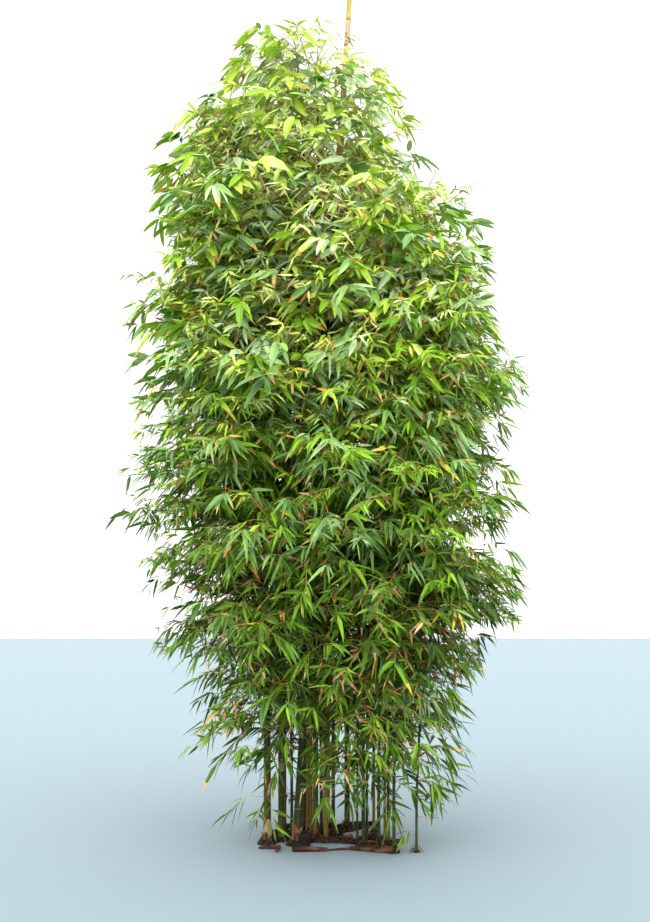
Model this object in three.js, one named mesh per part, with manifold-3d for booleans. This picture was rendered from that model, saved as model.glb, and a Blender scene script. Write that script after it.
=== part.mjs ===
// A rooted clump of giant timber bamboo, 7.2 m to the tip of its newest shoot.
// Millimetres, +Z up. The ground is the plane z = 0, and the origin is the middle of the main culm's flat cut there.
// +X is to the right of someone who looks at the clump along +Y.
import * as THREE from "three";
import { mergeVertices } from "three/addons/utils/BufferGeometryUtils.js";
import Module from "manifold-3d";

const wasm = await Module();
wasm.setup();

// Driving dimensions
const GAP = 0.3; // between a branch and its culm, and between a culm and the root crown
const CROWN_AXIS = { x: 194, y: 150 }; // the upright line that the foliage is grouped round
const CLUMP_MIDDLE = { x: 270, y: 150 }; // the middle of the culms' feet

const ARCH = 430; // how far a culm whose foot is FAR_OUT from the clump's middle has leaned out at its tip
const NOD = 170; // the further nod of its last stretch
const FAR_OUT = 500;
const MAIN_LEAN = 0.062; // of the main culm, sideways for each millimetre up
const FOOT_FLARE = 0.22; // how much wider a culm is where it meets the ground
const FLARE_HEIGHT = 60;

const RING_SHARES = [0.26, 0.48, 0.68, 0.86, 1]; // of the height, where a culm's tube has its upper rings

const ROOT_TOP = 46; // height of the root crown's knuckles
const NECK_RADIUS = 24; // of the rhizome necks that join them

const WELD_GRID = 0.02;

const LOWEST_LEAF = 25;
const STEM_RADIUS = [7.5, 3.6]; // of a mass's own bough, from its culm to its end
const TWIG_RADIUS = [4.8, 4];
const LEAF = { length: 620, width: 205, thickness: 11 }; // each stands for a spray
const LEAF_TRIES = 24; // turns tried before a leaf that finds no room is skipped
const LEAF_ROOT = 2; // how far back through its twig's middle a leaf's root goes
const TWIGS_PER_MASS = 4;
const TWIG_SLOPES = [0.9, -0.7, -0.1]; // rise over run of a bough's side twigs in turn
const LEAVES_PER_TWIG = 3;
const SPACE_MARGIN = 3; // each mass stops this far short of its neighbours' spaces

// Each culm: name, foot across and depth, diameter, height and colour. From left to right, then those at the back.
const CULMS = [
  ["culm_left_1", -196, 30, 50, 4700, "olive"],
  ["culm_left_2", -106, 120, 42, 5250, "olive"],
  ["culm_middle_1", -36, 205, 21, 3700, "green"],
  ["culm_main", 0, 0, 56, 7200, "grey"],
  ["culm_middle_2", 76, 240, 28, 5250, "golden"],
  ["culm_middle_3", 100, 178, 20, 4400, "golden"],
  ["culm_middle_4", 130, 104, 37, 5850, "olive"],
  ["culm_middle_5", 168, 300, 25, 4100, "green"],
  ["culm_middle_6", 200, 82, 34, 5650, "golden"],
  ["culm_middle_7", 252, 300, 26, 5100, "olive"],
  ["culm_right_1", 412, 34, 15, 2900, "green"],
  ["culm_right_2", 450, -62, 22, 4300, "green"],
  ["culm_right_3", 483, 180, 19, 3500, "green"],
  ["culm_right_4", 538, 330, 21, 4300, "golden"],
  ["culm_right_5", 551, -90, 22, 4400, "green"],
  ["culm_right_6", 604, 130, 20, 4100, "golden"],
  ["culm_right_7", 618, -25, 20, 3900, "olive"],
  ["culm_right_8", 643, -210, 21, 3600, "green"],
  ["culm_right_9", 790, -200, 17, 2700, "green"],
  ["culm_back_1", -96, 330, 36, 4500, "olive"],
  ["culm_back_2", 50, 430, 40, 5100, "olive"],
  ["culm_back_3", 215, 520, 32, 4700, "golden"],
  ["culm_back_4", 352, 420, 38, 5400, "olive"],
  ["culm_back_5", 470, 500, 26, 4300, "green"],
].map(([name, x, y, diameter, height, colour]) => {
  const isMain = name === "culm_main";
  return {
    name, x, y, height, colour,
    radius: diameter / 2,
    sides: isMain ? 8 : 6,
    lean: isMain ? MAIN_LEAN : 0,
    outX: isMain ? 0 : (x - CLUMP_MIDDLE.x) / FAR_OUT,
    outY: isMain ? 0 : (y - CLUMP_MIDDLE.y) / FAR_OUT,
  };
});

// The crown's reach from its axis to the left and to the right, by height.
const REACH = [
  { z: 0, left: 830, right: 690 },
  { z: 600, left: 960, right: 950 },
  { z: 1050, left: 1020, right: 1060 },
  { z: 1600, left: 1380, right: 1430 },
  { z: 2200, left: 1560, right: 1300 },
  { z: 3000, left: 1480, right: 1460 },
  { z: 3700, left: 1370, right: 1230 },
  { z: 4400, left: 1320, right: 1180 },
  { z: 5000, left: 1080, right: 800 },
  { z: 5450, left: 880, right: 620 },
  { z: 5750, left: 680, right: 430 },
  { z: 6000, left: 260, right: 240 },
];

// The masses of foliage stand round the crown in a rising spiral, as many to each height as the crown is wide there.
const MASSES = 33;
const LOWEST_MIDDLE = 330;
const HIGHEST_MIDDLE = 5750;
const SPIRAL_TURN = 2.39996; // from one mass to the next, in radians: the golden angle
const FIRST_AZIMUTH = 0.8;
const MIDDLE_SHARE = 0.56; // of the reach, from the axis to the middle of a mass

// A repeatable stream of numbers from 0 to 1.
function randomFrom(seed) {
  let state = seed >>> 0;
  return () => {
    state = (state + 0x6d2b79f5) >>> 0;
    let t = Math.imul(state ^ (state >>> 15), state | 1);
    t ^= t + Math.imul(t ^ (t >>> 7), t | 61);
    return ((t ^ (t >>> 14)) >>> 0) / 4294967296;
  };
}

const mix = (a, b, share) => a + (b - a) * share;
const radians = (degrees) => (degrees * Math.PI) / 180;

// Where a culm's middle line is at height z.
function culmAxis(culm, z) {
  const rise = z / culm.height;
  const out = ARCH * rise ** 2.2 + NOD * rise ** 7;
  return new THREE.Vector3(culm.x + culm.lean * z + out * culm.outX, culm.y + out * culm.outY, z);
}

// Nearly even for two thirds of its height, then quickly to a thin tip.
function culmRadius(culm, z) {
  const rise = z / culm.height;
  const taper = 1 - 0.2 * rise - 0.72 * rise ** 5;
  return culm.radius * taper * (1 + FOOT_FLARE * Math.exp(-z / FLARE_HEIGHT));
}

// A closed cylinder whose rings are moved to the stations: each has a centre, a radius and two directions across.
function bentCylinder(stations, sides) {
  const steps = stations.length - 1;
  const shape = new THREE.CylinderGeometry(1, 1, 1, sides, steps);
  const position = shape.getAttribute("position");
  for (let i = 0; i < position.count; i++) {
    const { centre, radius, side, front } = stations[Math.round((position.getY(i) + 0.5) * steps)];
    const moved = centre
      .clone()
      .addScaledVector(side, position.getX(i) * radius)
      .addScaledVector(front, position.getZ(i) * radius);
    position.setXYZ(i, moved.x, moved.y, moved.z);
  }
  return shape;
}

function solidOf(geometry) {
  const bare = geometry.clone();
  bare.deleteAttribute("normal");
  bare.deleteAttribute("uv");
  const merged = mergeVertices(bare, 1e-4);
  return new wasm.Manifold(
    new wasm.Mesh({
      numProp: 3,
      vertProperties: new Float32Array(merged.attributes.position.array),
      triVerts: new Uint32Array(merged.index.array),
    }),
  );
}

// A solid's surface with its corners on a fine grid, so that slivers vanish, or null where that leaves it not closed.
function weldedGeometry(solid) {
  const { vertProperties, triVerts } = solid.getMesh();
  const geometry = new THREE.BufferGeometry();
  const onGrid = vertProperties.map((value) => Math.round(value / WELD_GRID) * WELD_GRID);
  geometry.setAttribute("position", new THREE.BufferAttribute(onGrid, 3));
  geometry.setIndex(new THREE.BufferAttribute(triVerts, 1));
  const merged = mergeVertices(geometry, WELD_GRID / 2);
  const corners = merged.index.array;
  const kept = [];
  const edgeUses = new Map();
  for (let i = 0; i < corners.length; i += 3) {
    const face = [corners[i], corners[i + 1], corners[i + 2]];
    if (new Set(face).size < 3) continue;
    kept.push(...face);
    face.forEach((corner, k) => {
      const next = face[(k + 1) % 3];
      const edge = `${Math.min(corner, next)} ${Math.max(corner, next)}`;
      edgeUses.set(edge, (edgeUses.get(edge) ?? 0) + 1);
    });
  }
  if ([...edgeUses.values()].some((uses) => uses !== 2)) return null;
  merged.setIndex(kept);
  merged.computeVertexNormals();
  return merged;
}

// A culm as a tube with level rings, so that its foot is cut flat on the ground. extra widens it, for a clearance hole.
function culmTube(culm, extra = 0) {
  const heights = [0, FLARE_HEIGHT, 3 * FLARE_HEIGHT, ...RING_SHARES.map((share) => culm.height * share)];
  const stations = heights.map((z, i) => {
    const beyond = i === 0 ? -extra : i === heights.length - 1 ? extra : 0;
    return {
      centre: culmAxis(culm, z).add(new THREE.Vector3(0, 0, beyond)),
      radius: culmRadius(culm, z) + extra,
      side: new THREE.Vector3(1, 0, 0),
      front: new THREE.Vector3(0, -1, 0),
    };
  });
  return bentCylinder(stations, culm.sides);
}

// The root crown: a low woody knuckle round each culm's foot, joined to the nearest earlier one by a rhizome neck.
function rootCrown() {
  const ordered = [...CULMS].sort(
    (a, b) => Math.hypot(a.x - CLUMP_MIDDLE.x, a.y - CLUMP_MIDDLE.y) - Math.hypot(b.x - CLUMP_MIDDLE.x, b.y - CLUMP_MIDDLE.y),
  );
  const pieces = ordered.map((culm) => knuckle(culm));
  ordered.slice(1).forEach((culm, i) => {
    const earlier = ordered.slice(0, i + 1);
    const distance = (other) => Math.hypot(other.x - culm.x, other.y - culm.y);
    const nearest = earlier.reduce((best, other) => (distance(other) < distance(best) ? other : best));
    pieces.push(neck(culm, nearest));
  });
  const holes = CULMS.map((culm) => solidOf(culmTube(culm, GAP / Math.cos(Math.PI / culm.sides))));
  return wasm.Manifold.union(pieces).simplify(0.5).subtract(wasm.Manifold.union(holes)).simplify(0.01);
}

function knuckle(culm) {
  const wide = culm.radius * 1.55 + 14;
  const top = mix(ROOT_TOP * 0.6, ROOT_TOP, culm.radius / 28);
  const profile = [
    new THREE.Vector2(0, 0),
    new THREE.Vector2(wide, 0),
    new THREE.Vector2(wide * 0.75, top),
    new THREE.Vector2(0, top),
  ];
  const shape = new THREE.LatheGeometry(profile, 6);
  shape.rotateX(Math.PI / 2);
  shape.translate(culm.x, culm.y, 0);
  return solidOf(shape);
}

function neck(from, to) {
  const start = new THREE.Vector3(from.x, from.y, 0);
  const end = new THREE.Vector3(to.x, to.y, 0);
  const along = end.clone().sub(start).normalize();
  const side = new THREE.Vector3(-along.y, along.x, 0);
  const section = new THREE.Shape();
  section.moveTo(-NECK_RADIUS, 0);
  section.lineTo(NECK_RADIUS, 0);
  section.lineTo(0, NECK_RADIUS);
  section.closePath();
  const shape = new THREE.ExtrudeGeometry(section, { depth: start.distanceTo(end), bevelEnabled: false });
  shape.applyMatrix4(new THREE.Matrix4().makeBasis(side, new THREE.Vector3(0, 0, 1), along).setPosition(start));
  return solidOf(shape);
}

// How far the crown reaches from its axis at height z, towards an azimuth measured from +X.
function crownReach(z, azimuth) {
  const above = REACH.findIndex((row) => row.z >= z);
  if (above < 1) return above === 0 && z >= 0 ? REACH[0].right : 0;
  const low = REACH[above - 1];
  const high = REACH[above];
  const share = (z - low.z) / (high.z - low.z);
  const left = mix(low.left, high.left, share);
  const right = mix(low.right, high.right, share);
  return mix(left, right, 0.5 + 0.5 * Math.cos(azimuth));
}

function insideCrown(point) {
  if (point.z < LOWEST_LEAF) return false;
  const across = point.x - CROWN_AXIS.x;
  const depth = point.y - CROWN_AXIS.y;
  return Math.hypot(across, depth) <= crownReach(point.z, Math.atan2(depth, across));
}

// Heights at which masses have their middles, spaced so that each has about as much of the crown's side as the rest.
function middleHeights() {
  const step = 10;
  const heights = [];
  for (let z = LOWEST_MIDDLE; z <= HIGHEST_MIDDLE; z += step) heights.push(z);
  const widths = heights.map((z) => crownReach(z, Math.PI / 2) + 250);
  const whole = widths.reduce((sum, width) => sum + width, 0);
  const chosen = [];
  let passed = 0;
  heights.forEach((z, i) => {
    passed += widths[i] / whole;
    if (passed * MASSES > chosen.length + 0.5) chosen.push(z);
  });
  return chosen;
}

// The middle of each mass. A mass's own space is every point that is nearer to its middle than to any other.
function massMiddles() {
  return middleHeights().map((z, i, all) => {
    const azimuth = FIRST_AZIMUTH + SPIRAL_TURN * i;
    const away = i < all.length - 1 ? MIDDLE_SHARE * crownReach(z, azimuth) : 0;
    const x = CROWN_AXIS.x + away * Math.cos(azimuth);
    const y = CROWN_AXIS.y + away * Math.sin(azimuth);
    return { name: `foliage_${String(i + 1).padStart(2, "0")}`, azimuth, point: new THREE.Vector3(x, y, z) };
  });
}

const MIDDLES = massMiddles();

function inOwnSpace(point, mass, margin) {
  return MIDDLES.every((other) => {
    if (other === mass) return true;
    const towards = other.point.clone().sub(mass.point);
    const apart = towards.length();
    const along = point.clone().sub(mass.point).dot(towards) / apart;
    return along <= apart / 2 - margin;
  });
}

// True if a straight piece of that half width keeps clear of every culm but one.
function clearOfCulms(start, end, halfWidth, except) {
  const steps = Math.max(2, Math.ceil(start.distanceTo(end) / 30));
  for (let i = 0; i <= steps; i++) {
    const point = start.clone().lerp(end, i / steps);
    const touches = CULMS.some((culm) => {
      if (culm === except || point.z > culm.height + 20) return false;
      const z = Math.min(point.z, culm.height);
      const axis = culmAxis(culm, z);
      return Math.hypot(point.x - axis.x, point.y - axis.y) < culmRadius(culm, z) * 1.1 + halfWidth + 2;
    });
    if (touches) return false;
  }
  return true;
}

// A limb in one upright plane: from start, for run along heading and lift up, over an arch that sags back by its end.
function limbPath(start, heading, run, lift, arch, steps) {
  const points = [];
  for (let i = 0; i <= steps; i++) {
    const s = i / steps;
    const rise = lift * s + arch * 4 * s * (1 - s);
    points.push(
      new THREE.Vector3(start.x + run * s * Math.cos(heading), start.y + run * s * Math.sin(heading), start.z + rise),
    );
  }
  return points;
}

function limbTube(points, heading, radii) {
  const side = new THREE.Vector3(Math.sin(heading), -Math.cos(heading), 0);
  const stations = points.map((centre, i) => {
    const before = points[Math.max(0, i - 1)];
    const after = points[Math.min(points.length - 1, i + 1)];
    const along = after.clone().sub(before).normalize();
    return {
      centre,
      radius: mix(radii[0], radii[1], i / (points.length - 1)),
      side,
      front: side.clone().cross(along),
    };
  });
  return bentCylinder(stations, 3);
}

// True if a limb keeps to its mass's space and clear of the culms. Its first point lies inside what it grows from.
function pathIsFree(points, mass, radius, except) {
  return points.slice(1).every((point, i) => {
    if (!inOwnSpace(point, mass, SPACE_MARGIN + radius) || !insideCrown(point)) return false;
    return clearOfCulms(points[i], point, radius, except);
  });
}

// The bough of a mass: it leaves the culm that stands best for it and ends near the crown's outside.
function boughOf(mass) {
  const tries = [];
  for (const culm of CULMS) {
    const top = Math.min(culm.height * 0.94, mass.point.z + 240);
    for (let z = Math.max(150, mass.point.z - 640); z <= top; z += 40) {
      const start = culmAxis(culm, z);
      const radius = culmRadius(culm, z);
      if (radius < 4.5 || !inOwnSpace(start, mass, 0)) continue;
      for (const share of [0.86, 0.74, 0.62, 0.5]) {
        for (const turn of [0, 0.2, -0.2, 0.4, -0.4]) {
          const azimuth = mass.azimuth + turn;
          const reach = share * crownReach(mass.point.z, azimuth);
          const endX = CROWN_AXIS.x + reach * Math.cos(azimuth);
          const endY = CROWN_AXIS.y + reach * Math.sin(azimuth);
          const run = Math.hypot(endX - start.x, endY - start.y);
          const heading = Math.atan2(endY - start.y, endX - start.x);
          const cost =
            Math.abs(z - (mass.point.z - 240)) + 0.5 * run - 6 * radius + 900 * (0.86 - share) + 500 * Math.abs(turn);
          tries.push({ cost, culm, start, heading, run, lift: mass.point.z - z - 60 });
        }
      }
    }
  }
  tries.sort((a, b) => a.cost - b.cost);
  for (const { culm, start, heading, run, lift } of tries) {
    const points = limbPath(start, heading, run, lift, 90, 6);
    const exit = start.clone().lerp(points[1], culmRadius(culm, start.z) / start.distanceTo(points[1]));
    if (!inOwnSpace(exit, mass, SPACE_MARGIN + STEM_RADIUS[0])) continue;
    if (pathIsFree(points, mass, STEM_RADIUS[0], culm)) return { culm, points, heading };
  }
  return null;
}

// A leaf that stands for a spray: a flattened octahedron, widest nearer its base, which lies inside its twig.
function leafCorners(base, heading, pitch, roll, size) {
  const along = new THREE.Vector3(Math.cos(heading) * Math.cos(pitch), Math.sin(heading) * Math.cos(pitch), Math.sin(pitch));
  const level = new THREE.Vector3(-Math.sin(heading), Math.cos(heading), 0);
  const over = along.clone().cross(level);
  const across = level.clone().multiplyScalar(Math.cos(roll)).addScaledVector(over, Math.sin(roll));
  const thick = along.clone().cross(across);
  const belly = base.clone().addScaledVector(along, 0.4 * size.length);
  return {
    base: base.clone().addScaledVector(along, -LEAF_ROOT),
    tip: base.clone().addScaledVector(along, size.length),
    leftEdge: belly.clone().addScaledVector(across, -size.width / 2),
    rightEdge: belly.clone().addScaledVector(across, size.width / 2),
    under: belly.clone().addScaledVector(thick, -size.thickness / 2),
    upper: belly.clone().addScaledVector(thick, size.thickness / 2),
  };
}

function leafSolid(corners) {
  const shape = new THREE.OctahedronGeometry(1);
  const position = shape.getAttribute("position");
  for (let i = 0; i < position.count; i++) {
    const [x, y, z] = [position.getX(i), position.getY(i), position.getZ(i)];
    let corner;
    if (x > 0.5) corner = corners.tip;
    else if (x < -0.5) corner = corners.base;
    else if (y > 0.5) corner = corners.rightEdge;
    else if (y < -0.5) corner = corners.leftEdge;
    else corner = z > 0 ? corners.upper : corners.under;
    position.setXYZ(i, corner.x, corner.y, corner.z);
  }
  return solidOf(shape);
}

function leafIsFree(corners, mass, width) {
  const all = Object.values(corners);
  if (!all.every((corner) => inOwnSpace(corner, mass, SPACE_MARGIN) && insideCrown(corner))) return false;
  return clearOfCulms(corners.base, corners.tip, width / 2, null);
}

// True if a leaf, apart from its root, runs into something that its mass already has.
function leafCrosses(corners, base, made) {
  const outer = leafSolid({ ...corners, base: base.clone().lerp(corners.tip, 0.05) });
  return made.some((other) => !outer.intersect(other).isEmpty());
}

// The leaves of one twig: one at its end and the others to the left and right of it, all drooping.
function leavesOf(mass, points, heading, random, others) {
  const made = [];
  for (let i = 0; i < LEAVES_PER_TWIG; i++) {
    const place = points[points.length - 1].clone().lerp(points[points.length - 2], 0.07 + 0.3 * i);
    const turn = i === 0 ? 0 : i % 2 ? 48 : -48;
    for (let tries = 0; tries < LEAF_TRIES; tries++) {
      const size = { ...LEAF, length: LEAF.length * mix(1.08, 0.66, tries / LEAF_TRIES) };
      const leafHeading = heading + radians(turn + (random() - 0.5) * (30 + 9 * tries));
      const pitch = radians(-42 + (random() - 0.5) * (50 + 7 * tries));
      const corners = leafCorners(place, leafHeading, pitch, radians((random() - 0.5) * 120), size);
      if (!leafIsFree(corners, mass, size.width)) continue;
      if (leafCrosses(corners, place, [...others, ...made])) continue;
      made.push(leafSolid(corners));
      break;
    }
  }
  return made;
}

// Twigs leave the bough to its left and right in turn, some rising and some hanging, and the last carries it on.
function twigsOf(mass, bough, random) {
  const made = [];
  const boughSolid = solidOf(limbTube(bough.points, bough.heading, STEM_RADIUS));
  for (let i = 0; i < TWIGS_PER_MASS; i++) {
    const share = i === TWIGS_PER_MASS - 1 ? 1 : 0.24 + (0.74 * i) / (TWIGS_PER_MASS - 2);
    const position = share * (bough.points.length - 1);
    const before = Math.min(bough.points.length - 2, Math.floor(position));
    const start = bough.points[before].clone().lerp(bough.points[before + 1], position - before);
    const turn = share === 1 ? 0 : i % 2 ? 62 : -62;
    const slope = share === 1 ? 0.1 : TWIG_SLOPES[i % TWIG_SLOPES.length];
    for (let tries = 0; tries < 24; tries++) {
      const heading = bough.heading + radians(turn + (random() - 0.5) * (36 + 5 * tries));
      const run = mix(330, 110, tries / 24) * mix(0.8, 1.25, random());
      const lift = run * (slope + (random() - 0.5) * (0.3 + tries / 24));
      const points = limbPath(start, heading, run, lift, 0, 1);
      if (!pathIsFree(points, mass, TWIG_RADIUS[0], null)) continue;
      const leaves = leavesOf(mass, points, heading, random, [boughSolid, ...made]);
      if (leaves.length < 2 && tries < 20) continue;
      made.push(solidOf(limbTube(points, heading, TWIG_RADIUS)), ...leaves);
      break;
    }
  }
  return [boughSolid, ...made];
}

// A mass: its bough, twigs and leaves fused, cut clear of the culm that carries it.
function foliageMass(mass, index) {
  const bough = boughOf(mass);
  if (!bough) throw new Error(`${mass.name} finds no culm to grow from`);
  const hole = solidOf(culmTube(bough.culm, GAP / Math.cos(Math.PI / bough.culm.sides)));
  for (let growth = 0; growth < 8; growth++) {
    const random = randomFrom(7001 + 131 * index + 17 * growth);
    const whole = wasm.Manifold.union(twigsOf(mass, bough, random)).simplify(0.5).subtract(hole);
    const biggest = whole.decompose().reduce((best, piece) => (piece.volume() > best.volume() ? piece : best));
    const geometry = weldedGeometry(biggest.simplify(0.05));
    if (geometry) return geometry;
  }
  throw new Error(`${mass.name} doesn't grow into a closed solid`);
}

const COLOURS = { olive: 0x5c6426, green: 0x4b6d2a, golden: 0x8f7a2c, grey: 0x4c5545, root: 0x5b3a22, leaf: 0x4c8430 };

function addMesh(group, name, geometry, colour) {
  const material = new THREE.MeshStandardMaterial({ color: COLOURS[colour], roughness: 0.6, metalness: 0 });
  const mesh = new THREE.Mesh(geometry, material);
  mesh.name = name;
  group.add(mesh);
}

const clump = new THREE.Group();
for (const culm of CULMS) addMesh(clump, culm.name, culmTube(culm), culm.colour);
addMesh(clump, "root_crown", weldedGeometry(rootCrown()), "root");
MIDDLES.forEach((mass, index) => addMesh(clump, mass.name, foliageMass(mass, index), "leaf"));

export default clump;
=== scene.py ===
"""The looks of a rooted clump of giant timber bamboo, in metres. +Z is up with the ground at z = 0, and the
origin is the middle of the main culm's flat cut there. +X is to the right of someone who looks along +Y."""

import math

import bpy
import numpy as np
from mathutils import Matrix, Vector


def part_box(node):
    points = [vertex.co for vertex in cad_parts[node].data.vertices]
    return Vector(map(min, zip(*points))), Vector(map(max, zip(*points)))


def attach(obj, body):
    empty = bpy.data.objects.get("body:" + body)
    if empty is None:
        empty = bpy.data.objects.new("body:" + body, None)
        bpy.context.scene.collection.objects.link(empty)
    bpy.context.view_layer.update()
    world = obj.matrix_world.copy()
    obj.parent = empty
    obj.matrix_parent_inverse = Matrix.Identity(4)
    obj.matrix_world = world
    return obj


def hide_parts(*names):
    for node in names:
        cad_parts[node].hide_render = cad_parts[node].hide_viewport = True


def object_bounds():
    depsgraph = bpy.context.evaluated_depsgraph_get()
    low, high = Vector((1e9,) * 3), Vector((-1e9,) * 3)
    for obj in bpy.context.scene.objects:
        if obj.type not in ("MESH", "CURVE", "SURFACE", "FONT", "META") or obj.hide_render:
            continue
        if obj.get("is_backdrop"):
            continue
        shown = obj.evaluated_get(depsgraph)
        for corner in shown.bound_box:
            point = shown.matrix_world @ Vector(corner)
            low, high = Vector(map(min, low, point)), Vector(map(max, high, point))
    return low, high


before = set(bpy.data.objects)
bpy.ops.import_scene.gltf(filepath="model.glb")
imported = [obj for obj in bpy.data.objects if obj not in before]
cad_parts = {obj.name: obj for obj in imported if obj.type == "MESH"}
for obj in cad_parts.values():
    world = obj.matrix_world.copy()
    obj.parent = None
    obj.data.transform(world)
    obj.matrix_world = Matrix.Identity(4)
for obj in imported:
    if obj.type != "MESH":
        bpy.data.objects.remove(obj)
cad_low, cad_high = (np.array(corner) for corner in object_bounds())

# Driving dimensions

# The crown as a whole
CROWN_AXIS = np.array([0.194, 0.150])  # the upright line that the foliage is grouped round
LEAF_REACH = 1.13  # how far leaf tips may reach, as a share of the crown's reach
BOX_MARGIN = 0.02  # and how far past the box of the solids
LOWEST_LEAF = 0.02
LOWEST_TIP = 0.03  # a big leaf is pitched so that its tip stays above this

# Culms
CLUMP_MIDDLE = np.array([0.270, 0.150])  # the middle of the culms' feet
FAR_OUT = 0.500
ARCH = 0.430  # how far a culm whose foot is FAR_OUT from the clump's middle has leaned out at its tip
NOD = 0.170  # the further nod of its last stretch
MAIN_LEAN = 0.062  # of the main culm, sideways for each metre up
SLIMMING = 0.20  # the share of its width that a culm loses evenly on the way up
TIP_SLIMMING = 0.72  # and the share that it loses near its tip
TIP_RADIUS = 0.0004
FOOT_FLARE = 0.22
FLARE_HEIGHT = 0.060
STANDS_APART = 0.60  # a foot that is further than this from the clump's middle has no neck to the others
LONGEST_INTERNODE = 0.31  # on a thick culm, from node to node
SHORTEST_INTERNODE = 0.13
LONG_INTERNODED = 0.025  # the radius from which a culm has internodes of full length
FIRST_NODE = 0.035
FIRST_NODE_SPREAD = 0.085  # the lowest nodes of neighbours are out of line by up to this
SHOOT_SKIN_FROM = 4.3  # above this the main culm is a young shoot

# Boughs and twigs
THICK_CULM = 0.0187  # from this radius a culm has four boughs at a node, below it three
TWO_MORE_ABOVE = 0.72  # of the leafy stretch of a culm, where each node has two boughs more
MAIN_BARE_ABOVE = 4.6  # there the main culm's own boughs end
FRONT_CULMS = ("main", "middle_4", "middle_6")  # each node has one bough more, to the front
FRONT_HEIGHTS = (1.3, 4.2)
FRONT_SPREAD = 38
SPARSE_BELOW = 1.25
SPARSE_SHARE = 0.30  # of the boughs left out there
GOLDEN_TURN = 0.618034
MOST_ROOM = 1.6  # how far out from a node the crown's edge is looked for, and in what steps
ROOM_STEP = 0.05
LONGEST_BOUGH = 1.5
SHORTEST_BOUGH = 0.10
LOWEST_BOUGH = 0.12
LIMB_ARCH = 0.12  # how far a bough arches up, as a share of its run
TWIG_ARCH = 0.10
BRANCH_RADIUS = (0.0042, 0.0020)
TWIG_RADIUS = (0.0021, 0.0010)
TWIG_SPACING = 0.078
LEAFY_SHARE = 0.82  # of a bough's length
FIRST_TWIG = 0.20  # where a bough's first twig starts, as a share of its length
TWIG_TURN = (30, 75)
TWIG_RUN = (0.45, 1.0)  # as a share of the longest
TWIG_LIFT = (-0.45, 0.55)  # as a share of its run
CUT_BACK = 0.45  # what is left of a twig that would leave the crown
INNER_SPACING = 0.036  # of the small leaves along a bough
AIRY_FROM = 3.7  # above this height the crown thins out
AIRINESS = 0.6
OPEN_OUTSIDE = 0.55  # the share of the twigs left out at the crown's edge high up, and near its axis there
OPEN_INSIDE = 0.55
OPEN_FROM = 0.62  # how far out, as a share of the crown's reach, the one passes into the other
OUTSIDE_BY_HEIGHT = ((2.6, 3.8, 4.8, 5.2), (0.25, 1.0, 1.0, 0.3))
INSIDE_BY_HEIGHT = ((3.0, 4.0, 4.8, 5.2), (0.0, 1.0, 1.0, 0.0))

# Leaves
BIG_SPRAYS = (0.58, 0.54)  # the share of the twigs that carry big leaves, low down and high up
LOW_AND_HIGH = (2.4, 3.8)
SPRAY_SIZES = (0.72, 1.0)
BIG_LEAF_LENGTH = (0.120, 0.240)
BIG_LEAF_WIDTH = (0.100, 0.160)  # of its length, low down
WIDER_ABOVE = 0.013  # how much that grows for each metre up
FAN_TURN = (16, 44)  # degrees to the side for the leaves of a fan, and more for those further back
FAN_SPREAD = 24
FAN_PITCHES = ((-68, 4.5), (-2, 3))  # lowest and highest at the ground, each with its rise for each metre up
LEADER_PITCHES = (-52, -14)  # of the leaf that carries the twig on
BIG_DROOP = (0.05, 0.34)
BROAD_LEAVED = (
    "main", "middle_4", "middle_6", "back_4",
    "right_2", "right_5", "left_1", "left_2",
)
BROAD_ABOVE = 3.0  # and on every culm above BROAD_TOP
BROAD_TOP = 4.3
BROADER = 1.35  # how much wider the leaves of the broad-leaved culms are
BROAD_LONGER = 1.13
SMALL_LEAF_LENGTH = (0.060, 0.125)
SMALL_LEAF_WIDTH = (0.13, 0.20)
SMALL_TURN = (15, 85)
SMALL_PITCHES = (-62, 22)
SMALL_DROOP = (0.0, 0.3)
# Each kind of leaf: its triangles, where along it the cross sections stand, and their share of its width
LEAF_SHAPES = {
    "leaves": (8, (0.26, 0.66), (1.0, 0.70)),
    "broad_leaves": (12, (0.13, 0.40, 0.74), (0.76, 1.0, 0.72)),
    "small_leaves": (4, (0.24, 0.64), (1.0, 0.72)),
}
FOLD = 0.42  # how far a leaf's edges stand over its middle, as a share of half its width
MOST_TRIANGLES = 195_000  # in one joined piece of leaves

# The woody foot
ROOT_TOP = 0.046
BED_CELL = 0.008
BED_MARGIN = 0.02
NECK_HEIGHT = 0.026
NECK_RADIUS = 0.030
NECK_RINGS = 0.019  # from ring to ring

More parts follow.
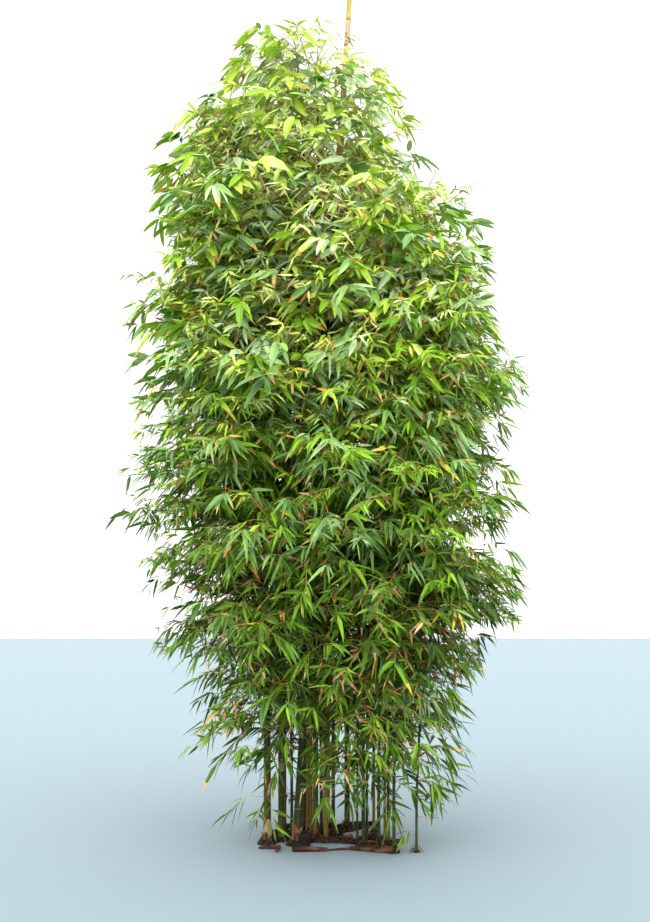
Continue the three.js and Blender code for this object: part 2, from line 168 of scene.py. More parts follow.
# Each culm: its name after culm_, foot across and depth, diameter, height, colour and lowest boughs' height
CULMS = [
    ("left_1", -0.196, 0.030, 0.050, 4.70, "olive", 0.72),
    ("left_2", -0.106, 0.120, 0.042, 5.25, "olive", 0.86),
    ("middle_1", -0.036, 0.205, 0.021, 3.70, "green", 0.62),
    ("main", 0.0, 0.0, 0.056, 7.20, "grey", 0.95),
    ("middle_2", 0.076, 0.240, 0.028, 5.25, "golden", 0.80),
    ("middle_3", 0.100, 0.178, 0.020, 4.40, "golden", 0.74),
    ("middle_4", 0.130, 0.104, 0.037, 5.85, "olive", 0.84),
    ("middle_5", 0.168, 0.300, 0.025, 4.10, "green", 0.70),
    ("middle_6", 0.200, 0.082, 0.034, 5.65, "golden", 0.72),
    ("middle_7", 0.252, 0.300, 0.026, 5.10, "olive", 0.70),
    ("right_1", 0.412, 0.034, 0.015, 2.90, "green", 0.50),
    ("right_2", 0.450, -0.062, 0.022, 4.30, "green", 0.58),
    ("right_3", 0.483, 0.180, 0.019, 3.50, "green", 0.60),
    ("right_4", 0.538, 0.330, 0.021, 4.30, "golden", 0.66),
    ("right_5", 0.551, -0.090, 0.022, 4.40, "green", 0.65),
    ("right_6", 0.604, 0.130, 0.020, 4.10, "golden", 0.62),
    ("right_7", 0.618, -0.025, 0.020, 3.90, "olive", 0.60),
    ("right_8", 0.643, -0.210, 0.021, 3.60, "green", 0.55),
    ("right_9", 0.790, -0.200, 0.017, 2.70, "green", 0.30),
    ("back_1", -0.096, 0.330, 0.036, 4.50, "olive", 0.74),
    ("back_2", 0.050, 0.430, 0.040, 5.10, "olive", 0.80),
    ("back_3", 0.215, 0.520, 0.032, 4.70, "golden", 0.74),
    ("back_4", 0.352, 0.420, 0.038, 5.40, "olive", 0.78),
    ("back_5", 0.470, 0.500, 0.026, 4.30, "green", 0.66),
]

# The crown's reach from its axis by height: to the left and to the right.
REACH_Z = (0.0, 0.6, 1.05, 1.6, 2.2, 3.0, 3.7, 4.4, 5.0, 5.45, 5.75, 6.0)
REACH_LEFT = (0.83, 0.96, 1.02, 1.38, 1.56, 1.48, 1.37, 1.32, 1.08, 0.88, 0.68, 0.26)
REACH_RIGHT = (0.69, 0.95, 1.06, 1.43, 1.30, 1.46, 1.23, 1.18, 0.80, 0.62, 0.43, 0.24)

# Low sprays that hang near the ground: culm, height, heading in degrees, run, fall and how many leaves.
LOW_SPRAYS = [
    ("left_1", 0.30, -77, 0.27, 0.15, 7),
    ("left_1", 0.27, -108, 0.20, 0.09, 7),
    ("left_1", 0.30, 186, 0.26, 0.10, 8),
    ("left_1", 0.66, -30, 0.20, 0.14, 7),
    ("left_1", 0.74, 200, 0.34, 0.20, 8),
    ("left_2", 0.62, -96, 0.24, 0.16, 8),
    ("left_2", 0.78, 160, 0.44, 0.24, 8),
    ("middle_1", 0.52, -120, 0.30, 0.20, 7),
    ("main", 0.70, -70, 0.20, 0.12, 7),
    ("main", 0.84, -150, 0.26, 0.20, 7),
    ("middle_4", 0.74, -88, 0.28, 0.16, 8),
    ("middle_6", 0.46, -36, 0.24, 0.16, 8),
    ("middle_6", 0.66, -100, 0.26, 0.14, 7),
    ("middle_7", 0.55, -20, 0.30, 0.10, 7),
    ("right_1", 0.42, -110, 0.18, 0.12, 8),
    ("right_1", 0.52, -60, 0.22, 0.10, 7),
    ("right_2", 0.48, -95, 0.16, 0.12, 8),
    ("right_5", 0.38, -60, 0.17, 0.10, 7),
    ("right_7", 0.42, -10, 0.24, 0.16, 7),
    ("right_8", 0.30, -105, 0.13, 0.05, 7),
    ("right_8", 0.46, -40, 0.22, 0.14, 8),
    ("right_9", 0.22, -20, 0.16, 0.06, 8),
    ("right_9", 0.14, -150, 0.10, 0.03, 6),
    ("right_9", 0.38, 40, 0.20, 0.12, 8),
    ("back_1", 0.60, 150, 0.30, 0.18, 8),
    ("back_1", 0.30, 80, 0.22, 0.12, 7),
    ("back_3", 0.44, 100, 0.24, 0.14, 8),
    ("back_5", 0.34, 40, 0.24, 0.14, 8),
    ("back_5", 0.52, 100, 0.26, 0.14, 7),
    ("right_9", 0.60, -8, 0.32, 0.12, 9),
    ("right_9", 0.74, 18, 0.38, 0.16, 9),
    ("right_9", 0.50, -55, 0.24, 0.12, 8),
    ("right_8", 0.62, -35, 0.36, 0.16, 9),
    ("right_8", 0.70, -80, 0.20, 0.12, 8),
    ("right_7", 0.66, 5, 0.40, 0.20, 9),
    ("right_5", 0.62, -88, 0.22, 0.14, 9),
    ("right_2", 0.66, -100, 0.24, 0.16, 9),
    ("right_1", 0.70, -120, 0.26, 0.16, 9),
    ("middle_7", 0.72, -60, 0.34, 0.16, 9),
    ("middle_6", 0.80, -80, 0.30, 0.16, 9),
    ("left_2", 0.70, -110, 0.30, 0.18, 8),
]
# Boughs that fill the top right of the crown: culm, height, heading in degrees, run and lift.
TOP_BOUGHS = [
    ("main", 4.45, 12, 0.34, 0.80),
    ("main", 4.55, -40, 0.32, 0.66),
    ("main", 4.40, -80, 0.26, 0.46),
    ("main", 4.58, -112, 0.24, 0.34),
    ("back_4", 4.90, -63, 0.50, 0.45),
    ("back_4", 5.10, -30, 0.40, 0.22),
    ("middle_4", 5.20, -8, 0.62, 0.15),
    ("middle_6", 5.10, 15, 0.58, 0.25),
    ("middle_6", 4.90, -50, 0.42, 0.10),
    ("right_5", 4.15, -8, 0.46, 0.40),
]
# Painted light and shade: how light the sprays are by height, darker low down where the crown shades them and
# lighter high up where light falls, and the limits between their six shades of green
PAINTED_LIGHT_HEIGHTS = (0.3, 1.4, 2.4, 3.4, 4.5, 5.8)
BIG_PAINTED_LIGHT = (0.13, 0.14, 0.32, 0.55, 0.69, 0.92)
SMALL_PAINTED_LIGHT = (0.10, 0.14, 0.47, 0.82, 1.00, 1.10)
LIGHT_LIMITS = (0.34, 0.54, 0.74, 0.96, 1.14)
LOW_PAINTED_LIGHT_TO = 2.2  # up to here a spray is lighter the further out it is, painted light where more light reaches the crown's outside
HIGH_PAINTED_LIGHT_FROM = 3.6  # and from here up the further in it is, painted light that lifts the shade inside the crown
SPREAD = 0.12  # the standard deviation of a spray's lightness
BIG_GLOSSY = 0.42  # the share of glossy sprays
SMALL_GLOSSY = 0.25

# Leaf colours, dealt out by spray
LEAF_COLOURS = {
    "shade": (0.044, 0.088, 0.005),
    "forest": (0.082, 0.172, 0.009),
    "grass": (0.144, 0.292, 0.013),
    "spring": (0.244, 0.430, 0.020),
    "lime": (0.425, 0.592, 0.062),
    "pale": (0.620, 0.732, 0.205),
    "jade": (0.070, 0.162, 0.022),
    "sage": (0.128, 0.270, 0.042),
    "fresh": (0.226, 0.396, 0.090),
    # silver: a pale grey-green that is partly the leaf's own tone and partly painted sheen
    "sheen_silver": (0.375, 0.505, 0.235),
    "straw": (0.560, 0.520, 0.130),
    "amber": (0.560, 0.330, 0.050),
    "rust": (0.330, 0.140, 0.040),
    "tan": (0.440, 0.290, 0.130),
}
LEAF_NAMES = list(LEAF_COLOURS)
WARM = ("shade", "forest", "grass", "spring", "lime", "pale")
COOL = ("shade", "jade", "sage", "fresh", "sheen_silver", "sheen_silver")  # the glossy ones; silver's pale grey-green is partly painted sheen
PALER = dict(zip(COOL, COOL[1:])) | dict(zip(WARM, WARM[1:]))
BIG_PALER = 0.24  # the share of the leaves that are one shade paler than their spray
SMALL_PALER = 0.30
# the share of the big leaves whose other half is one shade paler: painted light on one side of the fold
PAINTED_LIGHT_HALVES = 0.4
BIG_AMBER = 0.010
SMALL_DRY = 0.14
DRY_BELOW = 2.4  # the dry small leaves are brown below this height and partly yellow above it
DRY_LOW = ("rust", "tan", "tan", "rust")
DRY_HIGH = ("rust", "tan", "straw", "amber")
AMBER_TIPS = (0.11, 0.17)  # up to these shares below and above AMBER_ABOVE
AMBER_ABOVE = 2.8


class Culm:
    """One culm's middle line, width and nodes."""

    def __init__(self, name, x, y, diameter, height, colour, first_branch):
        self.name = name
        self.foot = np.array([x, y])
        self.radius = diameter / 2
        self.height = height
        self.colour = colour
        self.first_branch = first_branch
        self.first_node = FIRST_NODE + FIRST_NODE_SPREAD * ((7.3 * x + 5.1 * y) % 1.0)
        main = name == "main"
        self.lean = MAIN_LEAN if main else 0.0
        self.outward = np.zeros(2) if main else (self.foot - CLUMP_MIDDLE) / FAR_OUT

    def axis(self, z):
        rise = np.asarray(z) / self.height
        out = ARCH * rise**2.2 + NOD * rise**7
        x = self.foot[0] + self.lean * np.asarray(z) + out * self.outward[0]
        y = self.foot[1] + out * self.outward[1]
        return np.stack([x, y, np.asarray(z) + 0.0 * x], axis=-1)

    def width(self, z):
        rise = np.asarray(z) / self.height
        taper = 1 - SLIMMING * rise - TIP_SLIMMING * rise**5
        return self.radius * taper * (1 + FOOT_FLARE * np.exp(-np.asarray(z) / FLARE_HEIGHT))

    def nodes(self):
        """Heights of the nodes: close at the foot, far apart half way up, and close again at the tip."""
        size = 0.55 + 0.45 * min(1.0, self.radius / LONG_INTERNODED)
        heights = [self.first_node]
        while heights[-1] < self.height - 0.10:
            rise = heights[-1] / self.height
            stretch = math.sin(math.pi * min(1.0, 0.12 + 0.88 * rise**0.8))
            internode = SHORTEST_INTERNODE + stretch * (LONGEST_INTERNODE - SHORTEST_INTERNODE)
            heights.append(heights[-1] + size * internode)
        return [z for z in heights if z < self.height - 0.03]


culms = [Culm(*row) for row in CULMS]
culm_named = {culm.name: culm for culm in culms}


def from_middle(culm):
    """How far a culm's foot is from the clump's middle."""
    return math.hypot(*(culm.foot - CLUMP_MIDDLE))


def crown_reach(z, azimuth):
    """How far the crown reaches from its axis at height z, towards an azimuth measured from +X."""
    left = np.interp(z, REACH_Z, REACH_LEFT, right=0.0)
    right = np.interp(z, REACH_Z, REACH_RIGHT, right=0.0)
    lobes = 0.97 + 0.05 * np.sin(3 * azimuth + 4.4 * z + 1.0) + 0.05 * np.sin(5 * azimuth - 7.1 * z)
    lobes += 0.03 * np.sin(9 * azimuth + 11 * z)
    return (left + (right - left) * (0.5 + 0.5 * np.cos(azimuth))) * lobes


def reach_share(points):
    """How far out points are, from 0 on the crown's axis to 1 at its reach there."""
    across, depth = points[..., 0] - CROWN_AXIS[0], points[..., 1] - CROWN_AXIS[1]
    return np.hypot(across, depth) / np.maximum(crown_reach(points[..., 2], np.arctan2(depth, across)), 0.05)


def inside_crown(point, share=1.0):
    return point[2] > LOWEST_LEAF and reach_share(point) <= share


# Meshes


def mesh_object(name, points, faces, materials, face_materials=None, smooth=False):
    """An object from arrays: points (n, 3), faces as a list of (m, k) arrays of k-sided faces."""
    mesh = bpy.data.meshes.new(name)
    loops = np.concatenate([part.reshape(-1) for part in faces]).astype(np.int32)
    sizes = np.concatenate([np.full(len(part), part.shape[1]) for part in faces])
    starts = np.concatenate([[0], np.cumsum(sizes)[:-1]])
    mesh.vertices.add(len(points))
    mesh.vertices.foreach_set("co", np.asarray(points, dtype=np.float32).reshape(-1))
    mesh.loops.add(len(loops))
    mesh.loops.foreach_set("vertex_index", loops)
    mesh.polygons.add(len(sizes))
    mesh.polygons.foreach_set("loop_start", starts.astype(np.int32))
    mesh.polygons.foreach_set("loop_total", sizes.astype(np.int32))
    mesh.update(calc_edges=True)
    mesh.validate()
    for material in materials:
        mesh.materials.append(material)
    if face_materials is not None:
        mesh.polygons.foreach_set("material_index", np.asarray(face_materials, dtype=np.int32))
    mesh.polygons.foreach_set("use_smooth", np.full(len(sizes), smooth))
    made = bpy.data.objects.new(name, mesh)
    bpy.context.collection.objects.link(made)
    return made


def unit(vectors):
    return vectors / np.maximum(np.linalg.norm(vectors, axis=-1, keepdims=True), 1e-9)


def ring_quads(count, rings, sides):
    """The faces between neighbouring rings of count tubes, whose points stand ring after ring."""
    first = (np.arange(count)[:, None, None] * rings + np.arange(rings - 1)[None, :, None]) * sides
    here = first + np.arange(sides)
    beside = first + (np.arange(sides) + 1) % sides
    return np.stack([here, beside, beside + sides, here + sides], axis=-1).reshape(-1, 4)


def tubes(paths, radii, sides):
    """Points and faces of tubes along paths (n, k, 3), with radii (n, k), or (n, k, sides) if not round."""
    if radii.ndim == 2:
        radii = np.repeat(radii[:, :, None], sides, axis=2)
    along = unit(np.gradient(paths, axis=1))
    helper = np.where(np.abs(along[..., 2:3]) > 0.9, [1.0, 0.0, 0.0], [0.0, 0.0, 1.0])
    side = unit(np.cross(along, helper))
    front = np.cross(side, along)
    angles = np.linspace(0, 2 * np.pi, sides, endpoint=False)
    round_ = side[:, :, None, :] * np.cos(angles)[:, None] + front[:, :, None, :] * np.sin(angles)[:, None]
    points = (paths[:, :, None, :] + radii[..., None] * round_).reshape(-1, 3)
    return points, ring_quads(*radii.shape[:2], sides)


def dress(piece, slot, *nodes):
    """Puts a piece on the root body and hides the nodes that it replaces. Its slot is not used."""
    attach(piece, "root")
    if nodes:
        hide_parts(*nodes)


# Materials


def principled(name, colour=None, roughness=0.5, **sockets):
    material = bpy.data.materials.new(name)
    material.use_nodes = True
    shader = material.node_tree.nodes["Principled BSDF"]
    if colour is not None:
        shader.inputs["Base Color"].default_value = (*colour, 1.0)
    shader.inputs["Roughness"].default_value = roughness
    for socket, value in sockets.items():
        shader.inputs[socket.replace("_", " ")].default_value = value
    return material, material.node_tree, shader


def add_node(tree, kind, inputs=None, **settings):
    made = tree.nodes.new(kind)
    for key, value in settings.items():
        setattr(made, key, value)
    for key, value in (inputs or {}).items():
        if isinstance(value, bpy.types.NodeSocket):
            tree.links.new(value, made.inputs[key])
        else:
            made.inputs[key].default_value = value
    return made


def ramp(tree, value, stops):
    made = add_node(tree, "ShaderNodeValToRGB", {"Fac": value})
    elements = made.color_ramp.elements
    while len(elements) < len(stops):
        elements.new(0.5)
    for element, (place, colour) in zip(elements, stops):
        element.position = place
        element.color = (*colour, 1.0)
    return made.outputs["Color"]


def stretched_place(tree, scale):
    place = add_node(tree, "ShaderNodeTexCoord").outputs["Object"]
    return add_node(tree, "ShaderNodeMapping", {"Vector": place, "Scale": scale}).outputs["Vector"]


def noise(tree, place, scale, detail):
    sockets = {"Vector": place, "Scale": scale, "Detail": detail}
    return add_node(tree, "ShaderNodeTexNoise", sockets).outputs["Fac"]


def add_relief(tree, shader, height, strength, distance):
    bump = add_node(tree, "ShaderNodeBump", {"Strength": strength, "Distance": distance, "Height": height})
    tree.links.new(bump.outputs["Normal"], shader.inputs["Normal"])


PATCH_STRETCH = (1.0, 1.0, 0.16)
STREAK_STRETCH = (1.0, 1.0, 0.02)
STREAK_RANGE = {"From Min": 0.3, "From Max": 0.7, "To Min": 0.72, "To Max": 1.1}
# The mix node's colour sockets share their names with those of its other types, so they are linked by place.
MIX_A = 6
MIX_B = 7
MIX_RESULT = 2


def culm_material(name, stops, roughness):
    """The skin of a culm: patches of its colours, fine streaks along it and a faint ripple."""
    material, tree, shader = principled(name, roughness=roughness, Specular_IOR_Level=0.15)
    patches = noise(tree, stretched_place(tree, PATCH_STRETCH), 9.0, 4.0)
    streaks = noise(tree, stretched_place(tree, STREAK_STRETCH), 420.0, 2.0)
    dark = add_node(tree, "ShaderNodeMapRange", {"Value": streaks} | STREAK_RANGE).outputs["Result"]
    grey = add_node(tree, "ShaderNodeCombineColor", dict.fromkeys(("Red", "Green", "Blue"), dark))
    streaked = add_node(tree, "ShaderNodeMix", {"Factor": 1.0}, data_type="RGBA", blend_type="MULTIPLY")
    tree.links.new(ramp(tree, patches, stops), streaked.inputs[MIX_A])
    tree.links.new(grey.outputs["Color"], streaked.inputs[MIX_B])
    tree.links.new(streaked.outputs[MIX_RESULT], shader.inputs["Base Color"])
    add_relief(tree, shader, streaks, 0.25, 0.0006)
    return material


LENGTHWISE = (1.0, 1.0, 0.10)
EVEN = (1.0, 1.0, 1.0)


def fibrous_material(name, colours, roughness, scale, relief=0.001, stretch=LENGTHWISE, light_at=0.72):
    """Dry sheath, rhizome or stump: three colours mottled together, dark to light, with a fibrous relief."""
    material, tree, shader = principled(name, roughness=roughness, Specular_IOR_Level=0.12)
    place = stretched_place(tree, stretch)
    mottle = noise(tree, place, scale, 6.0)
    stops = list(zip((0.3, 0.5, light_at), colours))
    tree.links.new(ramp(tree, mottle, stops), shader.inputs["Base Color"])
    add_relief(tree, shader, noise(tree, place, scale * 6, 3.0), 0.7, relief)
    return material


CULM_STOPS = {
    "olive": [(0.30, (0.020, 0.020, 0.003)), (0.50, (0.048, 0.045, 0.006)), (0.74, (0.145, 0.105, 0.014))],
    "green": [(0.30, (0.010, 0.022, 0.005)), (0.52, (0.027, 0.044, 0.008)), (0.75, (0.085, 0.084, 0.015))],
    "golden": [(0.28, (0.060, 0.044, 0.007)), (0.50, (0.170, 0.100, 0.012)), (0.74, (0.330, 0.185, 0.026))],
    "grey": [(0.30, (0.013, 0.016, 0.005)), (0.52, (0.028, 0.034, 0.010)), (0.76, (0.085, 0.084, 0.032))],
}
culm_skins = {name: culm_material(f"culm_{name}", stops, 0.38) for name, stops in CULM_STOPS.items()}
shoot_skin = culm_material(
    "young_shoot", [(0.30, (0.36, 0.32, 0.10)), (0.52, (0.56, 0.48, 0.20)), (0.74, (0.68, 0.58, 0.32))], 0.5
)
wax_skin = principled("node_wax", (0.085, 0.088, 0.048), 0.75)[0]
scar_skin = principled("node_scar", (0.050, 0.036, 0.016), 0.8)[0]
sheath_skin = fibrous_material(
    "dry_sheath", [(0.20, 0.125, 0.06), (0.33, 0.23, 0.13), (0.47, 0.37, 0.24)], 0.85, 30.0
)
brown_sheath_skin = fibrous_material(
    "brown_sheath", [(0.07, 0.030, 0.014), (0.17, 0.080, 0.036), (0.30, 0.170, 0.085)], 0.85, 30.0
)
young_sheath_skin = fibrous_material(
    "young_sheath", [(0.36, 0.18, 0.11), (0.50, 0.32, 0.20), (0.64, 0.48, 0.33)], 0.7, 24.0
)
pale_sheath_skin = fibrous_material(
    "pale_sheath", [(0.30, 0.25, 0.05), (0.46, 0.38, 0.11), (0.60, 0.51, 0.22)], 0.7, 24.0
)
scale_skin = fibrous_material(
    "basal_scale", [(0.012, 0.007, 0.005), (0.042, 0.020, 0.011), (0.200, 0.115, 0.060)], 0.9, 22.0,
    light_at=0.74,
)
# The woody bed's near-black browns are partly its own dark colour and partly painted shade at the clump's
# foot
rhizome_and_painted_shade_skin = fibrous_material(
    "rhizome", [(0.005, 0.004, 0.003), (0.016, 0.010, 0.007), (0.070, 0.038, 0.022)], 0.95, 42.0, 0.003,
    EVEN, 0.74,
)
runner_skin = fibrous_material(
    "runner", [(0.012, 0.006, 0.005), (0.052, 0.022, 0.013), (0.190, 0.085, 0.042)], 0.85, 26.0, 0.002,
    (0.25, 1.0, 1.0), 0.74,
)
root_skin = fibrous_material(
    "roots", [(0.030, 0.016, 0.009), (0.085, 0.048, 0.025), (0.240, 0.150, 0.080)], 0.9, 60.0, stretch=EVEN
)
stump_skin = fibrous_material(
    "old_stump", [(0.005, 0.005, 0.005), (0.012, 0.010, 0.010), (0.040, 0.028, 0.020)], 0.95, 36.0, 0.002,
    EVEN, 0.74,
)
branch_skin = fibrous_material(
    "branch", [(0.14, 0.13, 0.022), (0.30, 0.21, 0.040), (0.42, 0.23, 0.060)], 0.5, 14.0, 0.0002, EVEN
)
twig_skins = [
    principled("twig_green", (0.34, 0.34, 0.050), 0.5)[0],
    principled("twig_brown", (0.52, 0.27, 0.060), 0.6)[0],
]
ROUGHNESS = 0.42
GLOSSY = 0.62
DULL = 0.18
leaf_skins = [
    principled(f"leaf_{name}", colour, ROUGHNESS, Specular_IOR_Level=GLOSSY if name in COOL[1:] else DULL)[0]
    for name, colour in LEAF_COLOURS.items()
]


# Culms


PLAIN, WAX, SCAR, SHOOT = range(4)  # the skins of a culm
# The rings over each node: how high over it, and how much wider than the culm there
NODE_RINGS = ((0.0015, 1.020), (0.0060, 1.060), (0.0150, 1.020), (0.0320, 1.0))


def culm_profile(culm):
    """Rings up a culm: height, how much wider than its taper, and the skin of the stretch above."""
    rings = [(0.0, 1.0, PLAIN)]
    nodes = culm.nodes()
    for i, z in enumerate(nodes):
        below = z - (nodes[i - 1] if i else 0.0)
        rings += [
            (z - 0.50 * below, 1.0, PLAIN),
            (z - min(0.22 * culm.radius + 0.004, 0.3 * below), 1.0, WAX),
            (z - 0.0035, 1.015, SCAR),
            (z - 0.0010, 1.065 + 0.0005 / culm.radius, SCAR),
        ]
        rings += [(z + over, wide, PLAIN) for over, wide in NODE_RINGS]
    rings.append((culm.height, 1.0, PLAIN))
    rings.sort(key=lambda ring: ring[0])
    return rings


def build_culm(culm):
    rings = culm_profile(culm)
    z = np.array([ring[0] for ring in rings])
    sides = 18 if culm.radius > 0.015 else 12
    radii = culm.width(z) * np.array([ring[1] for ring in rings])
    radii[-1] = TIP_RADIUS
    angles = np.linspace(0, 2 * np.pi, sides, endpoint=False)
    x, y = radii[:, None] * np.cos(angles), radii[:, None] * np.sin(angles)
    points = culm.axis(z)[:, None, :] + np.stack([x, y, np.zeros((len(z), sides))], axis=-1)
    skins = np.repeat([ring[2] for ring in rings[:-1]], sides)
    materials = [culm_skins[culm.colour], wax_skin, scar_skin]
    if culm.name == "main":
        materials.append(shoot_skin)
        skins = np.where(np.repeat(z[:-1] > SHOOT_SKIN_FROM, sides), SHOOT, skins)
    quads = ring_quads(1, len(z), sides)
    points = points.reshape(-1, 3)
    made = mesh_object(f"culm_{culm.name}_skin", points, [quads], materials, skins, smooth=True)
    dress(made, f"culm_{culm.colour}", f"culm_{culm.name}")


for each in culms:
    build_culm(each)


# Boughs, twigs and leaves


def limb_path(start, heading, run, lift, arch, steps):
    """A limb in one upright plane: from start, for run along heading and lift up, by way of an arch."""
    s = np.linspace(0, 1, steps + 1)
    return start + np.stack(
        [run * s * math.cos(heading), run * s * math.sin(heading), lift * s + arch * 4 * s * (1 - s)], axis=-1
    )


def room_along(start, heading, rise):
    """How far a limb can run from start before it leaves the crown, rising by rise for each metre."""
    run = 0.0
    direction = np.array([math.cos(heading), math.sin(heading), rise])
    while run < MOST_ROOM and inside_crown(start + (run + ROOM_STEP) * direction):
        run += ROOM_STEP
    return run


class Growth:
    """Gathers the limbs' paths and the leaves' sizes, so that each kind becomes one mesh."""

    def __init__(self):
        self.boughs = []
        self.twigs = []
        self.twig_kinds = []
        self.leaves = {kind: [] for kind in LEAF_SHAPES}


def along_path(path, share):
    """The point at a share of a path's length, counted in its even stretches."""
    spot = share * (len(path) - 1)
    before = min(len(path) - 2, int(spot))
    return path[before] + (path[before + 1] - path[before]) * (spot - before)


def painted_light_spray_colour(point, rng, shares, glossy_share, extra=0.0):
    """A colour for a whole spray, with painted light and shade: dark low down where the crown shades it and
    light high up where light falls, most of all in the open inside there.
    """
    outside = min(1.0, reach_share(point))
    light = np.interp(point[2], PAINTED_LIGHT_HEIGHTS, shares)
    # Painted light: lighter further out low down, and lighter further in high up
    light += np.interp(point[2], (LOW_PAINTED_LIGHT_TO, HIGH_PAINTED_LIGHT_FROM), (0.22 * outside, 0.44 - 0.30 * outside))
    light += rng.normal(0, SPREAD) + extra
    family = COOL if rng.random() < glossy_share else WARM
    return family[sum(light > limit for limit in LIGHT_LIMITS)]


def tip_colour(own, rng, z):
    """A leaf's tip is sometimes dry: rust, tan or amber. Otherwise it has the leaf's own colour."""
    chance = rng.random()
    for limit, name in ((0.04, "rust"), (0.10, "tan"), (AMBER_TIPS[int(z > AMBER_ABOVE)], "amber")):
        if chance < limit:
            return name
    return own


def add_leaf(leaves, base, heading, pitch, length, width, droop, roll, own, half, tip):
    """A leaf's own colour, that of its other half, one shade paler on some big leaves as painted light on one
    side of its fold, and that of its tip come last.
    """
    colours = [LEAF_NAMES.index(name) for name in (own, half, tip)]
    leaves.append((*base, heading, pitch, length, width, droop, roll, *colours))


def grow_big_spray(growth, twig, heading, rng, count, extra=0.0, broad=False):
    """A fan of big leaves at a twig's end, left and right in turn, with one that carries the twig on."""
    broad = twig[-1][2] > (BROAD_ABOVE if broad else BROAD_TOP)
    leaves = growth.leaves["broad_leaves" if broad else "leaves"]
    colour = painted_light_spray_colour(twig[-1], rng, BIG_PAINTED_LIGHT, BIG_GLOSSY, extra)
    size = rng.uniform(*SPRAY_SIZES)
    for i in range(count):
        base = along_path(twig, 1.0 - 0.50 * i / count)
        z = base[2]
        turn = 0.0
        if i:
            turn = math.radians(rng.uniform(*FAN_TURN) + FAN_SPREAD * i / count) * (1 if i % 2 else -1)
        length = size * rng.uniform(*BIG_LEAF_LENGTH) * (BROAD_LONGER if broad else 1.0)
        width = length * (rng.uniform(*BIG_LEAF_WIDTH) + WIDER_ABOVE * z) * (BROADER if broad else 1.0)
        pitches = [at_ground + rise * z for at_ground, rise in FAN_PITCHES] if i else LEADER_PITCHES
        pitch = math.radians(rng.uniform(*pitches))
        pitch = max(pitch, -0.8 * math.asin(min(1.0, max(0.05, (z - LOWEST_TIP) / length))))
        own = PALER.get(colour, colour) if rng.random() < BIG_PALER else colour
        if rng.random() < BIG_AMBER:
            own = "amber"
        # Painted light: on some leaves one half of the fold is one shade paler
        half = PALER.get(own, own) if rng.random() < PAINTED_LIGHT_HALVES else own
        turned = heading + turn + rng.normal(0, 0.12)
        droop = rng.uniform(*BIG_DROOP)
        roll = rng.normal(0, 0.6)
        tip = tip_colour(own, rng, z)
        add_leaf(leaves, base, turned, pitch, length, width, droop, roll, own, half, tip)


def grow_small_spray(growth, twig, heading, rng, count, first=0.25):
    """Small leaves along a twig or bough, left and right in turn."""
    leaves = growth.leaves["small_leaves"]
    colour = painted_light_spray_colour(twig[-1], rng, SMALL_PAINTED_LIGHT, SMALL_GLOSSY)
    for i in range(count):
        base = along_path(twig, first + (1.0 - first) * (i + rng.random()) / count)
        turn = math.radians(rng.uniform(*SMALL_TURN)) * (1 if i % 2 else -1)
        length = rng.uniform(*SMALL_LEAF_LENGTH)
        own = PALER.get(colour, colour) if rng.random() < SMALL_PALER else colour
        if rng.random() < SMALL_DRY:
            own = (DRY_LOW if base[2] < DRY_BELOW else DRY_HIGH)[int(rng.integers(4))]
        pitch = math.radians(rng.uniform(*SMALL_PITCHES))
        width = length * rng.uniform(*SMALL_LEAF_WIDTH)
        droop = rng.uniform(*SMALL_DROOP)
        roll = rng.normal(0, 0.8)
        tip = tip_colour(own, rng, base[2])
        add_leaf(leaves, base, heading + turn, pitch, length, width, droop, roll, own, own, tip)


def open_share(point):
    """The share of the twigs left out round a point, so that light falls through the crown there."""
    past = float(np.clip((reach_share(point) - OPEN_FROM) / 0.3, -1.0, 1.0))
    outside = OPEN_OUTSIDE * np.interp(point[2], *OUTSIDE_BY_HEIGHT) * max(0.0, past)
    inside = OPEN_INSIDE * np.interp(point[2], *INSIDE_BY_HEIGHT) * max(0.0, -past)
    return outside + inside


def grow_twigs(growth, bough, heading, rng, longest, broad):
    """Twigs leave a bough to its left and right in turn, and the last carries it on."""
    length = float(np.linalg.norm(np.diff(bough, axis=0), axis=1).sum())
    airy = 1.0 + AIRINESS * max(0.0, min(1.0, bough[0][2] - AIRY_FROM))
    count = max(2, int(length * LEAFY_SHARE / (TWIG_SPACING * airy**0.5)))
    for i in range(count):
        share = 1.0 if i == count - 1 else FIRST_TWIG + (1.0 - FIRST_TWIG) * i / count
        start = along_path(bough, share)
        side = 0 if share == 1.0 else (1 if i % 2 else -1)
        turned = heading + side * math.radians(rng.uniform(*TWIG_TURN))
        run = rng.uniform(*TWIG_RUN) * longest * (1.0 - 0.35 * abs(share - 0.6))
        lift = run * rng.uniform(*TWIG_LIFT)
        twig = limb_path(start, turned, run, lift, TWIG_ARCH * run, 2)
        high = twig[-1][2]
        if rng.random() < open_share(twig[-1]):
            continue
        if not inside_crown(twig[-1]):
            twig = limb_path(start, turned, CUT_BACK * run, CUT_BACK * lift, 0.5 * TWIG_ARCH * run, 2)
            if not inside_crown(twig[-1], 1.03):
                continue
        growth.twigs.append(twig)
        growth.twig_kinds.append(int(rng.random() < 0.5))
        if rng.random() < np.interp(high, LOW_AND_HIGH, BIG_SPRAYS):
            grow_big_spray(growth, twig, turned, rng, int(rng.integers(5, 9)), broad=broad)
        else:
            grow_small_spray(growth, twig, turned, rng, int(rng.integers(7, 13)))
    grow_small_spray(growth, bough, heading, rng, int(length / (INNER_SPACING * airy)), 0.1)


